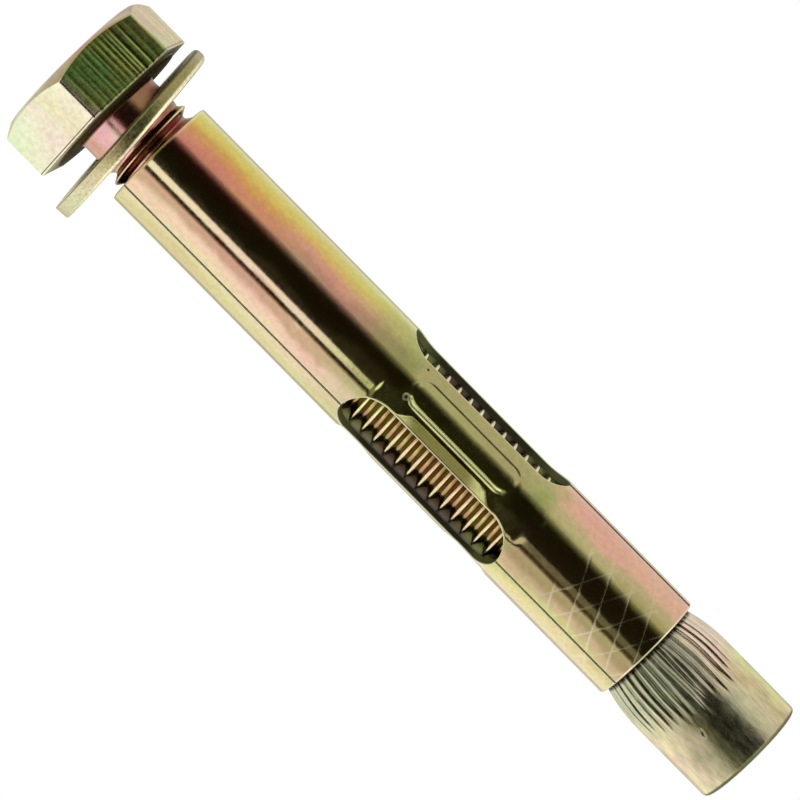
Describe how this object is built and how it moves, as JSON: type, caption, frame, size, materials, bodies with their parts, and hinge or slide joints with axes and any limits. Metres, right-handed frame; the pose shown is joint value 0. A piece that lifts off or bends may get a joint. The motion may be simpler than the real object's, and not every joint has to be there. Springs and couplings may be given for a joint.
{
  "type": "sleeve anchor bolt",
  "caption": "Sleeve anchor for masonry: a hex bolt in a slotted expansion sleeve, with a loose washer and a ribbed cone nut.",
  "frame": {"origin": "centre of the head's flat top face, on which the anchor stands", "axes": "+Z along the bolt from its head to the expander nut; two flats of the hex head face +Y and -Y"},
  "size_m": [0.0203, 0.0203, 0.0919],
  "materials": {
    "bolt_zinc": "cold-forged steel, zinc plated with yellow iridescent passivation",
    "washer_zinc": "punched steel, zinc plated with olive-yellow passivation, satin",
    "sleeve_zinc": "rolled steel sheet, bright zinc plated with yellow, pink and green iridescence",
    "nut_zinc": "cold-forged steel, zinc plated with greenish-yellow passivation, satin"
  },
  "bodies": {
    "bolt": {"hex_bolt": "bolt_zinc"},
    "washer": {"washer": "washer_zinc"},
    "sleeve": {"sleeve": "sleeve_zinc"},
    "expander": {"expander_nut": "nut_zinc"}
  },
  "joints": [
    {"name": "washer_slide", "type": "slide", "parent": "bolt", "child": "washer", "axis": [0, 0, 1], "range_m": [-0.0005, 0.0008]},
    {"name": "sleeve_slide", "type": "slide", "parent": "bolt", "child": "sleeve", "axis": [0, 0, 1], "range_m": [-0.00075, 0.0075]},
    {"name": "nut_turn", "type": "hinge", "parent": "sleeve", "child": "expander", "pos_m": [0, 0, 0.0845], "axis": [0, 0, 1], "range_deg": [-180, 1800]}
  ],
  "couplings": [
    {"joint": "nut_turn", "follows": "sleeve_slide", "rad_per_m": 4188.8}
  ]
}
